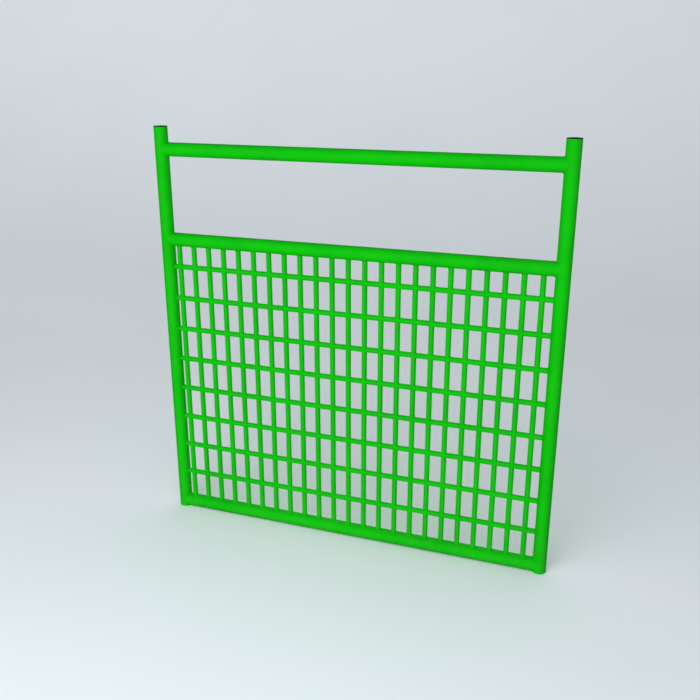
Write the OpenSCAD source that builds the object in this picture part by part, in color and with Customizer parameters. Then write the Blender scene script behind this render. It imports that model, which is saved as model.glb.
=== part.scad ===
// Livestock panel gate: two round posts, three round rails and a grid of round rods,
// all in one plane and welded into one rigid panel.
// X runs along the panel, Y through it and Z up. The origin is on the ground,
// midway between the posts.

/* [Tube frame] */
// Outside diameter of the posts and rails
tube_od = 41.3; // [34:0.1:50]
// Wall thickness of all the tube
tube_wall = 2.1; // [1.5:0.1:4]
// Height of the gap under the bottom rail, which keeps the panel's weight on the posts
ground_gap = 0.35; // [0.2:0.05:60]
// Height from the middle rail's axis to the top rail's axis
upper_gap = 272.8; // [120:0.1:600]
// Height from the top rail's axis to the cut ends of the posts
stub_height = 66.1; // [45:0.1:200]

/* [Grid of rods] */
// Diameter of the bars and the horizontal rods
rod_d = 15.9; // [8:0.1:20]
// Number of upright bars
bar_count = 23; // [4:1:28]
// Distance between the axes of neighbouring bars, and from the first bar to the right post
bar_pitch = 50.8; // [38:0.1:80]
// Distance from the last bar's axis to the left post's axis
left_margin = 38.1; // [36:0.1:90]
// Number of horizontal rods
row_count = 8; // [2:1:9]
// Distance between the axes of neighbouring horizontal rods
row_pitch = 101.6; // [40:0.1:160]
// Height from the bottom rail's axis to the lowest rod's axis
bottom_margin = 109.6; // [45:0.1:200]
// Height from the highest rod's axis to the middle rail's axis
top_margin = 86.3; // [45:0.1:200]
// How far a bar runs into a rail, measured from the rail's outer surface
bar_entry = 12; // [4:0.5:14]
// Radial gap around a bar in its punched hole
hole_gap = 0.2; // [0.05:0.05:0.5]
// Side gap around a rod where it is lapped into another
lap_gap = 0.1; // [0.05:0.05:0.5]

/* [Plugs] */
// Thickness of a plug's flange above the cut end of the post
flange_t = 1.5; // [1:0.1:4]
// Radius of the flange's rounded upper edge
flange_round = 0.8; // [0.3:0.1:0.9]
// Length of a plug's shank inside the post
shank_length = 20; // [12:1:40]
// Wall thickness of a plug's shank
shank_wall = 2.4; // [1.5:0.1:4]
// Number of gripping ribs on a shank
rib_count = 3; // [1:1:4]
// Thickness of a rib where it joins the shank
rib_t = 1.6; // [1:0.1:1.9]
// Thickness of a rib at its edge
rib_edge_t = 0.6; // [0.3:0.1:0.9]
// Height of the lowest rib above the end of the shank
rib_start = 2; // [1:0.5:4]
// Gap between a shank's core and the wall of its seat, which the ribs cross
rib_reach = 2; // [1:0.1:3]
// Gap left between a rib's edge and the wall of its seat
rib_gap = 0.05; // [0.02:0.01:0.2]
// How much the post's bore is opened out, on the radius, where the shank sits
seat_ream = 0.3; // [0.2:0.1:0.6]
// How far the opened-out seat runs past the end of the shank
seat_runout = 2; // [1:1:10]

/* [Hidden] */
$fn = 96;
overshoot = 1;

tube_r = tube_od / 2;
tube_bore_r = tube_r - tube_wall;
rod_r = rod_d / 2;
plug_seat_r = tube_bore_r + seat_ream;
plug_seat_depth = shank_length + seat_runout;
rib_pitch = (shank_length - rib_start - rib_t) / rib_count;

post_spacing = bar_count * bar_pitch + left_margin;
post_x = post_spacing / 2;

bottom_rail_z = ground_gap + tube_r;
mid_rail_z = bottom_rail_z + bottom_margin + (row_count - 1) * row_pitch + top_margin;
top_rail_z = mid_rail_z + upper_gap;
post_h = top_rail_z + stub_height;

bar_bottom_z = bottom_rail_z + tube_r - bar_entry;
bar_top_z = mid_rail_z - tube_r + bar_entry;

STEEL_GREEN = [0, 0.78, 0];
PLUG_BLACK = [0.05, 0.06, 0.05];

function bar_x(k) = post_x - k * bar_pitch;
function row_z(k) = bottom_rail_z + bottom_margin + (k - 1) * row_pitch;
function bar_name(k) = str("bar_", k < 10 ? "0" : "", k);
function row_name(k) = str("row_", k);

// A cylinder lying along X, centred on the panel
module lying(r, length) {
    rotate([0, 90, 0])
        cylinder(r = r, h = length, center = true);
}

// Everything on one side of the panel's mid plane: side is 1 for the back, -1 for the front
module side_of_panel(side) {
    depth = 2 * tube_od;
    translate([0, side * depth / 2, post_h / 2])
        cube([2 * post_spacing, depth, 2 * post_h], center = true);
}

// The solid outline of both posts, which the rails and rods are coped to
module post_outlines() {
    for (x = [-post_x, post_x])
        translate([x, 0, -overshoot])
            cylinder(r = tube_r, h = post_h + 2 * overshoot);
}

// One post at the given x: tube, open at the foot, with a reamed seat for the plug at the top
module post(x) {
    color(STEEL_GREEN)
        translate([x, 0, 0])
            difference() {
                cylinder(r = tube_r, h = post_h);
                translate([0, 0, -overshoot])
                    cylinder(r = tube_bore_r, h = post_h + 2 * overshoot);
                translate([0, 0, post_h - plug_seat_depth])
                    cylinder(r = plug_seat_r, h = plug_seat_depth + overshoot);
            }
}

// A plain rail between the posts, with fish-mouth ends
module rail_tube(z) {
    difference() {
        translate([0, 0, z])
            difference() {
                lying(tube_r, post_spacing);
                lying(tube_bore_r, post_spacing + 2 * overshoot);
            }
        post_outlines();
    }
}

// The holes for the bars in the rail whose axis is at z: side is 1 for its upper wall, -1 for its lower
module bar_holes(z, side) {
    for (k = [1 : bar_count])
        translate([bar_x(k), 0, z + side * (tube_r + overshoot) / 2])
            cylinder(r = rod_r + hole_gap, h = tube_r + overshoot, center = true);
}

module top_rail() {
    color(STEEL_GREEN)
        rail_tube(top_rail_z);
}

module mid_rail() {
    color(STEEL_GREEN)
        difference() {
            rail_tube(mid_rail_z);
            bar_holes(mid_rail_z, -1);
        }
}

module bottom_rail() {
    color(STEEL_GREEN)
        difference() {
            rail_tube(bottom_rail_z);
            bar_holes(bottom_rail_z, 1);
        }
}

// Bar number k, counted from the right post: each crossing keeps the front half of its metal
module bar(k) {
    color(STEEL_GREEN)
        difference() {
            translate([bar_x(k), 0, bar_bottom_z])
                cylinder(r = rod_r, h = bar_top_z - bar_bottom_z);
            intersection() {
                side_of_panel(1);
                for (j = [1 : row_count])
                    translate([bar_x(k), 0, row_z(j)])
                        lying(rod_r + lap_gap, 2 * rod_d);
            }
        }
}

// Horizontal rod number k, counted from the ground: each crossing keeps the back half of its metal
module row(k) {
    color(STEEL_GREEN)
        difference() {
            translate([0, 0, row_z(k)])
                lying(rod_r, post_spacing);
            post_outlines();
            intersection() {
                side_of_panel(-1);
                for (j = [1 : bar_count])
                    translate([bar_x(j), 0, row_z(k)])
                        cylinder(r = rod_r + lap_gap, h = 2 * rod_d, center = true);
            }
        }
}

// Half the section of one gripping rib: a slanted lower side, so that it slides in, and a flat upper one
module rib_section(core_r) {
    edge_r = plug_seat_r - rib_gap;
    polygon([
        [core_r - overshoot, 0],
        [core_r, 0],
        [edge_r, rib_t - rib_edge_t],
        [edge_r, rib_t],
        [core_r - overshoot, rib_t]
    ]);
}

// Half the section of a plug's outside: flange with a rounded upper edge, shank core and ribs
module plug_outline(core_r) {
    square([tube_r - flange_round, flange_t]);
    square([tube_r, flange_t - flange_round]);
    translate([tube_r - flange_round, flange_t - flange_round])
        circle(r = flange_round);
    translate([0, -shank_length])
        square([core_r, shank_length]);
    for (i = [0 : rib_count - 1])
        translate([0, rib_start - shank_length + i * rib_pitch])
            rib_section(core_r);
}

// The plug at the top of the post at the given x, hollow from below
module plug(x) {
    core_r = plug_seat_r - rib_reach;
    hollow_r = core_r - shank_wall;
    hollow_h = shank_length - shank_wall;
    color(PLUG_BLACK)
        translate([x, 0, post_h])
            rotate_extrude()
                difference() {
                    plug_outline(core_r);
                    translate([-overshoot, -shank_length - overshoot])
                        square([hollow_r + overshoot, hollow_h + overshoot]);
                }
}

post(-post_x);  // left_post
post(post_x);  // right_post
top_rail();
mid_rail();
bottom_rail();
for (k = [1 : bar_count])
    bar(k);
for (k = [1 : row_count])
    row(k);
plug(-post_x);  // left_cap
plug(post_x);  // right_cap
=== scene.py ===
"""The looks of the livestock panel gate: painted tube and rod, weld beads, plugs and a pale studio."""
import math

import bpy
import numpy as np
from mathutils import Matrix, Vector


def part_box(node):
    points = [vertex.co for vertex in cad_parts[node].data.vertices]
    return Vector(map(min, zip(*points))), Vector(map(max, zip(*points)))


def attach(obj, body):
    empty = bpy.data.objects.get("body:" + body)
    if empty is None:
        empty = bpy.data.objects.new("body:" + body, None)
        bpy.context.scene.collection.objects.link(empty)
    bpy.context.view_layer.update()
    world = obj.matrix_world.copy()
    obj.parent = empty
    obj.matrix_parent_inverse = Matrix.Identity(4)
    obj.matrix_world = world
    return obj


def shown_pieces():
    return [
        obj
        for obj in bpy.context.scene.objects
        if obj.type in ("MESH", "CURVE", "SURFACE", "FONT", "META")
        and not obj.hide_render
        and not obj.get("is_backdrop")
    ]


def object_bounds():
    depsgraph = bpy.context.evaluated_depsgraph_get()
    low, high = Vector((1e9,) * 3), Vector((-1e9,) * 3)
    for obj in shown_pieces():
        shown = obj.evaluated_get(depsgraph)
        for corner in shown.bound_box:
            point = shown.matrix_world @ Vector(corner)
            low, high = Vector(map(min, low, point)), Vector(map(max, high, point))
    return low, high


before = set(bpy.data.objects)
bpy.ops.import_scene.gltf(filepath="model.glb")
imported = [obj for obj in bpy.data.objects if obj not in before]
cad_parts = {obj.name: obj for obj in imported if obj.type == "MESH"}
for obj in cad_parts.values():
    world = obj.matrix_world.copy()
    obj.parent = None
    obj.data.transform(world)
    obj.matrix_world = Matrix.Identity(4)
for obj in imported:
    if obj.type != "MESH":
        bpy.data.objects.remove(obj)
cad_low, cad_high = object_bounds()
MIDDLE = (cad_low + cad_high) / 2

MM = 0.001
X = np.array([1.0, 0.0, 0.0])
Z = np.array([0.0, 0.0, 1.0])


# ---------------------------------------------------------------- sizes read from the frame

def centre_and_radius(node, axis):
    """The middle of a round node's box, and half its width along that axis."""
    low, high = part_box(node)
    return (np.array(low) + np.array(high)) / 2, (high[axis] - low[axis]) / 2


BARS = sorted(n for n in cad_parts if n.startswith("bar_"))
ROWS = sorted(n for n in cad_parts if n.startswith("row_"))
RAILS = ["bottom_rail", "mid_rail", "top_rail"]
POSTS = ["left_post", "right_post"]
CAPS = ["left_cap", "right_cap"]

bar_x = [centre_and_radius(n, 0)[0][0] for n in BARS]
row_z = [centre_and_radius(n, 2)[0][2] for n in ROWS]
rail_z = {n: centre_and_radius(n, 2)[0][2] for n in RAILS}
post_x = {n: centre_and_radius(n, 0)[0][0] for n in POSTS}
ROD_R = centre_and_radius(BARS[0], 1)[1]
TUBE_R = centre_and_radius(POSTS[0], 1)[1]


# ---------------------------------------------------------------- materials

class Tree:
    """A material's node tree, with short calls to add and join nodes."""

    def __init__(self, name):
        self.material = bpy.data.materials.new(name)
        self.material.use_nodes = True
        self.nodes = self.material.node_tree.nodes
        self.links = self.material.node_tree.links
        self.nodes.clear()
        self.shader = self.add("ShaderNodeBsdfPrincipled")
        output = self.add("ShaderNodeOutputMaterial")
        self.join(self.shader.outputs["BSDF"], output.inputs["Surface"])
        self.place = self.add("ShaderNodeTexCoord").outputs["Object"]

    def add(self, kind, **settings):
        node = self.nodes.new(kind)
        for key, value in settings.items():
            setattr(node, key, value)
        return node

    def join(self, source, target):
        self.links.new(source, target)

    def noise(self, scale, detail=3.0, roughness=0.5, stretch=None):
        """Noise of that many features a metre, drawn out along the axes by stretch."""
        node = self.add("ShaderNodeTexNoise")
        node.inputs["Scale"].default_value = scale
        node.inputs["Detail"].default_value = detail
        node.inputs["Roughness"].default_value = roughness
        if stretch is None:
            self.join(self.place, node.inputs["Vector"])
        else:
            mapping = self.add("ShaderNodeMapping")
            mapping.inputs["Scale"].default_value = stretch
            self.join(self.place, mapping.inputs["Vector"])
            self.join(mapping.outputs["Vector"], node.inputs["Vector"])
        return node.outputs["Fac"]

    def remap(self, value, from_low, from_high, to_low, to_high):
        node = self.add("ShaderNodeMapRange")
        self.join(value, node.inputs["Value"])
        for key, number in (("From Min", from_low), ("From Max", from_high),
                            ("To Min", to_low), ("To Max", to_high)):
            node.inputs[key].default_value = number
        return node.outputs["Result"]

    def math(self, operation, first, second):
        node = self.add("ShaderNodeMath", operation=operation)
        for socket, value in zip(node.inputs, (first, second)):
            if isinstance(value, (int, float)):
                socket.default_value = value
            else:
                self.join(value, socket)
        return node.outputs["Value"]

    def mix(self, factor, first, second):
        """A colour between two, each a socket or four numbers."""
        node = self.add("ShaderNodeMix", data_type="RGBA")
        self.join(factor, node.inputs[0])
        for socket, value in ((node.inputs[6], first), (node.inputs[7], second)):
            if isinstance(value, tuple):
                socket.default_value = value
            else:
                self.join(value, socket)
        return node.outputs[2]

    def bump(self, height, distance, strength=1.0, under=None):
        node = self.add("ShaderNodeBump")
        node.inputs["Strength"].default_value = strength
        node.inputs["Distance"].default_value = distance
        self.join(height, node.inputs["Height"])
        if under is not None:
            self.join(under, node.inputs["Normal"])
        return node.outputs["Normal"]


def height_above_ground(tree):
    split = tree.add("ShaderNodeSeparateXYZ")
    tree.join(tree.place, split.inputs[0])
    return split.outputs["Z"]


# Linear colours of the paint, clean and as time changes it
GREEN = (0.0008, 0.398, 0.0008, 1)
GREEN_DEEP = (0.0008, 0.345, 0.0015, 1)
GREEN_YELLOWED = (0.005, 0.405, 0.0008, 1)
GREEN_DUSTY = (0.06, 0.285, 0.05, 1)
GREEN_SCUFF = (0.035, 0.42, 0.035, 1)
PAINT_SPECULAR = 0.12
PEEL_DEPTH = 0.5 * MM
DUST_HEIGHT = 0.16

PLUG_BLACK = (0.006, 0.0072, 0.0062, 1)
PLUG_CHALKED = (0.02, 0.022, 0.02, 1)
PLUG_SPECULAR = 0.15
GRAIN_DEPTH = 0.12 * MM

FLOOR_DARKER = (0.74, 0.80, 0.845, 1)
FLOOR_LIGHTER = (0.76, 0.82, 0.865, 1)


def green_paint(name, coat_thickness=1.0):
    """Green powder coat: orange peel, slow drifts of tone, faint rubbed streaks and dust near the ground."""
    tree = Tree(name)
    slow = tree.remap(tree.noise(5.5, 3.0), 0.35, 0.65, 0.0, 1.0)
    patches = tree.remap(tree.noise(31.0, 4.0, 0.6), 0.42, 0.68, 0.0, 0.5)
    speckle = tree.remap(tree.noise(850.0, 2.0), 0.55, 0.75, 0.0, 0.35)
    colour = tree.mix(slow, GREEN, GREEN_DEEP)
    colour = tree.mix(patches, colour, GREEN_YELLOWED)
    colour = tree.mix(speckle, colour, GREEN_DEEP)

    streaks = tree.remap(tree.noise(60.0, 5.0, 0.7, (1.0, 1.0, 0.06)), 0.66, 0.78, 0.0, 0.3)
    colour = tree.mix(streaks, colour, GREEN_SCUFF)
    low_down = tree.remap(height_above_ground(tree), 0.0, DUST_HEIGHT, 1.0, 0.0)
    blotches = tree.remap(tree.noise(46.0, 5.0, 0.65), 0.45, 0.75, 0.0, 0.22)
    dust = tree.math("MULTIPLY", low_down, blotches)
    colour = tree.mix(dust, colour, GREEN_DUSTY)
    tree.join(colour, tree.shader.inputs["Base Color"])

    gloss = tree.remap(tree.noise(24.0, 4.0, 0.6), 0.3, 0.7, 0.36, 0.47)
    gloss = tree.math("ADD", gloss, tree.math("MULTIPLY", streaks, 0.25))
    gloss = tree.math("ADD", gloss, tree.math("MULTIPLY", dust, 0.4))
    tree.join(gloss, tree.shader.inputs["Roughness"])

    peel = tree.bump(tree.noise(420.0, 1.2, 0.4), PEEL_DEPTH * coat_thickness, 0.8)
    pulls = tree.bump(tree.noise(95.0, 2.0, 0.4), PEEL_DEPTH * coat_thickness, 0.35, peel)
    tree.join(pulls, tree.shader.inputs["Normal"])
    tree.shader.inputs["Specular IOR Level"].default_value = PAINT_SPECULAR
    return tree.material


def black_plastic(name):
    """Matte moulded plastic: a fine spark-eroded grain, a little greyed by sun in patches."""
    tree = Tree(name)
    chalk = tree.remap(tree.noise(210.0, 4.0, 0.6), 0.4, 0.75, 0.0, 0.6)
    colour = tree.mix(chalk, PLUG_BLACK, PLUG_CHALKED)
    tree.join(colour, tree.shader.inputs["Base Color"])
    tree.join(tree.remap(chalk, 0.0, 0.6, 0.6, 0.75), tree.shader.inputs["Roughness"])
    grain = tree.bump(tree.noise(1800.0, 3.0, 0.6), GRAIN_DEPTH, 0.6)
    tree.join(grain, tree.shader.inputs["Normal"])
    tree.shader.inputs["Specular IOR Level"].default_value = PLUG_SPECULAR
    return tree.material


def pale_floor(name):
    """A seamless painted studio floor."""
    tree = Tree(name)
    tone = tree.remap(tree.noise(0.9, 2.0), 0.3, 0.7, 0.0, 1.0)
    colour = tree.mix(tone, FLOOR_DARKER, FLOOR_LIGHTER)
    tree.join(colour, tree.shader.inputs["Base Color"])
    tree.shader.inputs["Roughness"].default_value = 0.9
    tree.shader.inputs["Specular IOR Level"].default_value = 0.0
    return tree.material


TUBE_PAINT = green_paint("tube_paint")
ROD_PAINT = green_paint("rod_paint", 0.8)
WELD_PAINT = green_paint("weld_paint", 1.3)
PLUG_PLASTIC = black_plastic("plug_plastic")


# ---------------------------------------------------------------- mesh helpers

def make_piece(name, parts, material):
    """One object of several (vertices, faces) parts, smooth, painted and riding on the panel."""
    vertices, faces, start = [], [], 0
    for points, quads in parts:
        vertices.append(points)
        faces.append(quads + start)
        start += len(points)
    mesh = bpy.data.meshes.new(name)
    mesh.from_pydata(np.concatenate(vertices).tolist(), [], np.concatenate(faces).tolist())
    mesh.validate()
    mesh.shade_smooth()
    mesh.materials.append(material)
    piece = bpy.data.objects.new(name, mesh)
    bpy.context.scene.collection.objects.link(piece)
    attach(piece, "root")


def wrapped_quads(along, around, closed_along):
    """Faces of a tube of sections: point i of section s has the index s * around + i."""
    sections = np.arange(along if closed_along else along - 1)
    s, i = np.meshgrid(sections, np.arange(around), indexing="ij")
    after = (s + 1) % along
    beside = (i + 1) % around
    quads = [s * around + i, after * around + i, after * around + beside, s * around + beside]
    return np.stack(quads, -1).reshape(-1, 4)


def placed(points, origin, x_axis, z_axis):
    """Points of a joint's own frame, put into the gate's frame."""
    y_axis = np.cross(z_axis, x_axis)
    return origin + points @ np.array([x_axis, y_axis, z_axis])


# ---------------------------------------------------------------- weld beads

# Points across a bead's skin: odd, so that a section with its root is even and its end fills with quads
ACROSS = 5
# How far a bead's toes and its root lie inside the metal
SUNK = 0.04 * MM
ROOT_DEPTH = 0.5 * MM
# Length of each kind of bead's legs, and the spacing of its ripples
TUBE_LEG, TUBE_PITCH = 2.2 * MM, 2.6 * MM
ROD_LEG, ROD_PITCH = 1.6 * MM, 2.0 * MM
CROSSING_LEG, CROSSING_PITCH = 1.2 * MM, 3.0 * MM
# Sections along each kind of bead
TUBE_SECTIONS, ROD_SECTIONS, CROSSING_SECTIONS = 289, 120, 33
# Phase that the ripples gain from one rail, bar, row, crossing or corner to the next, in radians
RAIL_SHIFT, BAR_SHIFT, ROW_SHIFT, CROSSING_SHIFT, CORNER_SHIFT = 1.7, 2.3, 1.9, 1.0, 1.0
# Height of a bead's crown, as a share of its width
RING_CROWN, CROSSING_CROWN = 0.16, 0.1
# How much the ripples raise and lower the crown, and how far its crescents bulge, in ripples
RIPPLE_SHARE, CRESCENT_SHARE = 0.35, 0.35
# How far round the bottom rail its beads run, either way from its top: the ground is close under the rest
BOTTOM_STOP = math.radians(140)
# What share of its leg a stopped bead keeps at its ends, and how abruptly it gets there
END_SHARE, END_BLUNTNESS = 0.12, 40
# How flat the crown's section is: 1 is a half sine wave, less is flatter on top
DOME_POWER = 0.7
# How far short of the front and the back a crossing's bead ends, in radians
CROSSING_STOP = 0.1


def closed_bead(sections, is_ring):
    """The faces of a bead's sections: a ring, or a strip whose two end sections are filled."""
    along, around = sections.shape[:2]
    quads = wrapped_quads(along, around, is_ring)
    if not is_ring:
        last = np.arange(around) + (along - 1) * around
        ends = [[ring[i], ring[-1 - i], ring[-2 - i], ring[i + 1]]
                for ring in (np.arange(around)[::-1], last) for i in range(around // 2 - 1)]
        quads = np.concatenate([quads, np.array(ends)])
    return sections.reshape(-1, 3), quads


def bead_sections(on_wall, on_member, root, outward, crown, pitch, phase):
    """Closed sections of a bead: its toe on the wall, its crown, its toe on the member, then its root.

    Rows run along the seam. The crown's ripples are crescents, as a welder's weave leaves them.
    """
    across = np.linspace(0, 1, ACROSS)[None, :, None]
    step = np.linalg.norm(np.diff(on_member, axis=0), axis=1)
    travelled = np.concatenate([[0], np.cumsum(step)])[:, None]
    width = np.linalg.norm(on_member - on_wall, axis=1)[:, None]
    crescent = CRESCENT_SHARE * pitch * np.sin(np.pi * across[..., 0])
    ripple = np.cos(2 * np.pi * (travelled + crescent) / pitch + phase)
    dome = np.sin(np.pi * across[..., 0]) ** DOME_POWER
    height = dome * crown * width * (1 + RIPPLE_SHARE * ripple)
    skin = on_wall[:, None] * (1 - across) + on_member[:, None] * across
    skin = skin + height[..., None] * outward[:, None]
    return np.concatenate([skin, root[:, None]], 1)


def unit(vectors):
    return vectors / np.linalg.norm(vectors, axis=1, keepdims=True)


def seam_ring(member_r, wall_r, leg, along, pitch, phase, stop=None):
    """The bead round the end of a round member, along Z, that meets a round wall, along X, from above.

    Its toes are where a ball of radius leg, rolled round the joint, touches the member and the wall.
    With a stop, the bead only runs that far either way from the member's +X side, and ends bluntly.
    """
    if stop is None:
        turn = np.linspace(0, 2 * np.pi, along, endpoint=False)
        legs = np.full(along, leg)
    else:
        turn = np.linspace(-stop, stop, along)
        legs = leg * (END_SHARE + (1 - END_SHARE) * np.sqrt(1 - (turn / stop) ** END_BLUNTNESS))
    far_member, far_wall = member_r + legs, wall_r + legs
    side = far_member * np.sin(turn)
    ball_z = np.sqrt(np.maximum(far_wall**2 - side**2, 0))
    ball = np.stack([far_member * np.cos(turn), side, ball_z], 1)
    ones = np.ones(along)
    near_member = (member_r - SUNK) / far_member
    near_wall = (wall_r - SUNK) / far_wall
    on_member = ball * np.stack([near_member, near_member, ones], 1)
    on_wall = ball * np.stack([ones, near_wall, near_wall], 1)
    seam_y = member_r * np.sin(turn)
    seam_z = np.sqrt(np.maximum(wall_r**2 - seam_y**2, 0))
    root = np.stack([member_r * np.cos(turn), seam_y, seam_z], 1)
    outward = unit(ball - root)
    root = root - ROOT_DEPTH * outward
    # A whole number of ripples goes round, so that a ring closes without a jump
    seam_length = np.linalg.norm(on_member - np.roll(on_member, 1, axis=0), axis=1).sum()
    whole_pitch = seam_length / round(seam_length / pitch)
    sections = bead_sections(on_wall, on_member, root, outward, RING_CROWN, whole_pitch, phase)
    return closed_bead(sections, stop is None)


def crossing_seams(rod_r, leg, along, pitch, phase):
    """The four beads in the corners of a flush crossing of rods along X and Z, thin at front and back."""
    beads = []
    for corner, (side_x, side_z) in enumerate(((1, 1), (-1, 1), (-1, -1), (1, -1))):
        limit = math.pi / 2 - CROSSING_STOP
        turn = np.linspace(-limit, limit, along) * side_x * side_z
        far = rod_r + leg
        out = far * np.cos(turn)
        depth = far * np.sin(turn)
        ball = np.stack([side_x * out, depth, side_z * out], 1)
        near = (rod_r - SUNK) / far
        root = ball * (rod_r / far)
        outward = unit(ball - root)
        sections = bead_sections(ball * [1, near, near], ball * [near, near, 1],
                                 root - ROOT_DEPTH * outward, outward, CROSSING_CROWN, pitch,
                                 phase + corner * CORNER_SHIFT)
        beads.append(closed_bead(sections, False))
    return beads


def tube_welds():
    """The beads where the rails meet the posts; under the bottom rail they stop short of the ground."""
    parts = []
    for i, rail in enumerate(RAILS):
        stop = BOTTOM_STOP if rail == "bottom_rail" else None
        for post in POSTS:
            points, quads = seam_ring(TUBE_R, TUBE_R, TUBE_LEG, TUBE_SECTIONS, TUBE_PITCH,
                                      i * RAIL_SHIFT, stop)
            origin = np.array([post_x[post], 0, rail_z[rail]])
            parts.append((placed(points, origin, Z, -np.sign(post_x[post]) * X), quads))
    make_piece("tube_welds", parts, WELD_PAINT)


def rail_welds(rail, up):
    """The beads round the bars where they enter a rail; up is 1 above it and -1 below."""
    parts = []
    for i, x in enumerate(bar_x):
        points, quads = seam_ring(ROD_R, TUBE_R, ROD_LEG, ROD_SECTIONS, ROD_PITCH, i * BAR_SHIFT)
        parts.append((placed(points, np.array([x, 0, rail_z[rail]]), X, up * Z), quads))
    make_piece(f"{rail}_bar_welds", parts, WELD_PAINT)


def post_welds(post):
    """The beads round the horizontal rods where they meet a post."""
    parts = []
    for i, z in enumerate(row_z):
        points, quads = seam_ring(ROD_R, TUBE_R, ROD_LEG, ROD_SECTIONS, ROD_PITCH, i * ROW_SHIFT)
        origin = np.array([post_x[post], 0, z])
        parts.append((placed(points, origin, Z, -np.sign(post_x[post]) * X), quads))
    make_piece(f"{post}_rod_welds", parts, WELD_PAINT)


def crossing_welds(row, z):
    """The corner beads of every crossing along one horizontal rod."""
    parts = []
    for i, x in enumerate(bar_x):
        beads = crossing_seams(ROD_R, CROSSING_LEG, CROSSING_SECTIONS, CROSSING_PITCH,
                               i * CROSSING_SHIFT)
        parts += [(np.array([x, 0, z]) + points, quads) for points, quads in beads]
    make_piece(f"{row}_crossing_welds", parts, WELD_PAINT)


tube_welds()
rail_welds("bottom_rail", 1)
rail_welds("mid_rail", -1)
for post_name in POSTS:
    post_welds(post_name)
for row_name, row_height in zip(ROWS, row_z):
    crossing_welds(row_name, row_height)


# ---------------------------------------------------------------- the CAD nodes' own finish

def finish_node(node, material):
    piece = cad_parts[node]
    piece.data.materials.clear()
    piece.data.materials.append(material)


for node_name in POSTS + RAILS:
    finish_node(node_name, TUBE_PAINT)
for node_name in BARS + ROWS:
    finish_node(node_name, ROD_PAINT)
for node_name in CAPS:
    finish_node(node_name, PLUG_PLASTIC)


# ---------------------------------------------------------------- studio

def cyclorama():
    """A floor that sweeps up into a wall on all four sides of the gate."""
    floor_x, front_y, back_y = 6.6, -5.6, 2.9
    bend_r, wall_top = 2.6, 9.0
    corner_points, bend_points = 13, 40
    below_feet = 0.2 * MM
    corners = [(floor_x, back_y), (-floor_x, back_y), (-floor_x, front_y), (floor_x, front_y)]
    foot = [(x, y, math.cos(a), math.sin(a))
            for quarter, (x, y) in enumerate(corners)
            for a in np.linspace(quarter, quarter + 1, corner_points) * math.pi / 2]
    rise = [(bend_r * math.sin(a), bend_r * (1 - math.cos(a)))
            for a in np.linspace(0, math.pi / 2, bend_points)]
    rise.append((bend_r, wall_top))
    sections = np.array([[(x + out_x * out, y + out_y * out, up - below_feet)
                          for x, y, out_x, out_y in foot] for out, up in rise])
    faces = wrapped_quads(len(rise), len(foot), False).tolist() + [list(range(len(foot)))]
    mesh = bpy.data.meshes.new("cyclorama")
    mesh.from_pydata(sections.reshape(-1, 3).tolist(), [], faces)
    mesh.shade_smooth()
    mesh.materials.append(pale_floor("studio_floor"))
    sweep = bpy.data.objects.new("cyclorama", mesh)
    bpy.context.scene.collection.objects.link(sweep)
    sweep.visible_diffuse = False
    sweep.visible_glossy = False
    sweep.visible_shadow = False
    sweep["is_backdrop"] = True
    return sweep


def towards(azimuth, elevation):
    """The direction from the gate to a place round it: azimuth 0 is straight in front, 90 on its right."""
    a, e = math.radians(azimuth), math.radians(elevation)
    return Vector((math.sin(a) * math.cos(e), -math.cos(a) * math.cos(e), math.sin(e)))


def soft_box(name, spot, aim, size, watts, lit):
    """A square area light, aimed from one spot at another, that lights only the things given."""
    data = bpy.data.lights.new(name, "AREA")
    data.size = size
    data.energy = watts
    light = bpy.data.objects.new(name, data)
    light.location = spot
    light.rotation_euler = (Vector(spot) - Vector(aim)).to_track_quat("Z", "Y").to_euler()
    light.visible_glossy = False
    light.visible_camera = False
    bpy.context.scene.collection.objects.link(light)
    reached = bpy.data.collections.new(f"{name}_reaches")
    for thing in lit:
        reached.objects.link(thing)
    light.light_linking.receiver_collection = reached
    return light


def sheen_card(name, spot, size, radiance):
    """A dim card that shows only in the gate's reflections and gives the paint its satin sheen."""
    card = soft_box(name, spot, MIDDLE, size, radiance * math.pi * size**2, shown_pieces())
    card.visible_glossy = True
    card.visible_diffuse = False


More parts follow.
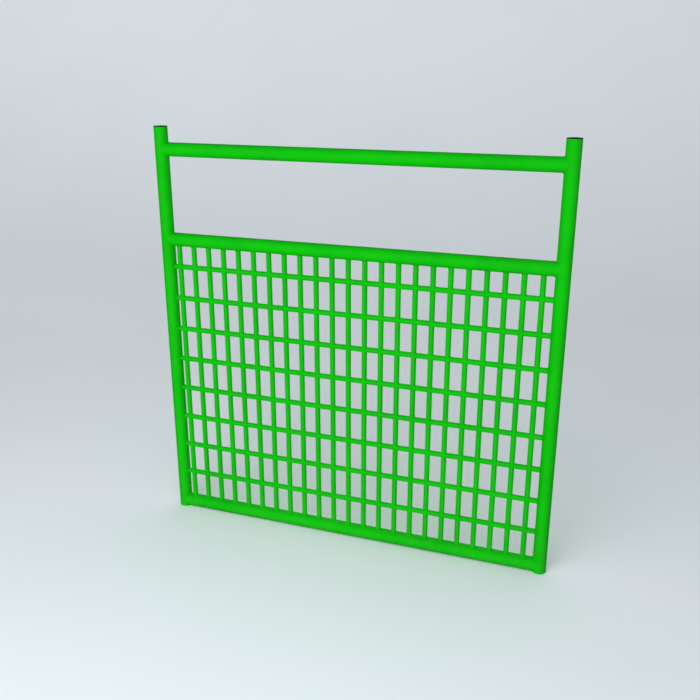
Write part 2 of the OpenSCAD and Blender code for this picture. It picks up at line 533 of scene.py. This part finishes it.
def studio_air(above, across, from_right):
    """Soft light from all round: so strong from above, from front and back, and from the right."""
    world = bpy.data.worlds.new("studio_air")
    bpy.context.scene.world = world
    world.use_nodes = True
    nodes, links = world.node_tree.nodes, world.node_tree.links
    split = nodes.new("ShaderNodeSeparateXYZ")
    links.new(nodes.new("ShaderNodeTexCoord").outputs["Generated"], split.inputs[0])

    def step(operation, first, second):
        node = nodes.new("ShaderNodeMath")
        node.operation = operation
        for socket, value in zip(node.inputs, (first, second)):
            if isinstance(value, (int, float)):
                socket.default_value = value
            else:
                links.new(value, socket)
        return node.outputs["Value"]

    upward = step("MULTIPLY", step("MAXIMUM", split.outputs["Z"], 0.0), above)
    frontal = step("MULTIPLY", step("ABSOLUTE", split.outputs["Y"], 0.0), across)
    rightward = step("MULTIPLY", step("MAXIMUM", split.outputs["X"], 0.0), from_right)
    background = nodes["Background"]
    background.inputs["Color"].default_value = (1, 1, 1, 1)
    links.new(step("ADD", step("ADD", upward, frontal), rightward), background.inputs["Strength"])
    world.cycles_visibility.glossy = False


def camera(azimuth, elevation, distance, field, aim):
    """A camera round the gate that looks at the aim; field is its angle of view in degrees."""
    data = bpy.data.cameras.new("camera")
    data.sensor_width = 36
    data.lens = data.sensor_width / 2 / math.tan(math.radians(field) / 2)
    eye = bpy.data.objects.new("camera", data)
    eye.location = aim + towards(azimuth, elevation) * distance
    eye.rotation_euler = towards(azimuth, elevation).to_track_quat("Z", "Y").to_euler()
    bpy.context.scene.collection.objects.link(eye)
    bpy.context.scene.camera = eye


backdrop = cyclorama()
studio_air(above=0.233, across=0.944, from_right=0.18)
soft_box("key", MIDDLE + towards(-4, 9) * 3.2, MIDDLE, size=1.6, watts=92.5, lit=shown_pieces())
soft_box("back_key", MIDDLE + towards(195, 10) * 4.0, MIDDLE, size=2.0, watts=140, lit=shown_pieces())
soft_box("floor_wash", (-0.3, -2.2, 2.2), (-0.3, -2.0, 0), size=1.6, watts=33.6, lit=[backdrop])
soft_box("floor_wash_right", (0.5, -2.2, 2.6), (0.5, -2.0, 0), size=1.6, watts=11, lit=[backdrop])
soft_box("floor_wash_high", (0, -2.0, 4.0), (0, -1.0, 0), size=3.0, watts=13.8, lit=[backdrop])
soft_box("wall_wash_left", (-4.8, 0.5, 4.5), (-5.0, 5.3, 3.4), size=2.0, watts=41, lit=[backdrop])
soft_box("wall_wash_middle", (-1.0, 2.0, 5.5), (-1.0, 5.3, 3.5), size=2.0, watts=21, lit=[backdrop])
sheen_card("front_sheen", MIDDLE + towards(-15, 20) * 3.0, size=2.2, radiance=0.15)
sheen_card("back_sheen", MIDDLE + towards(160, 30) * 3.0, size=2.2, radiance=0.15)
# The aim's last few millimetres off the middle put the gate where the photograph has it
AIM_SHIFT = Vector((-0.9, 0.0, -2.6)) * MM
camera(azimuth=19.95, elevation=18.93, distance=2.5344, field=45.0, aim=MIDDLE + AIM_SHIFT)
bpy.context.scene.view_settings.view_transform = "Standard"
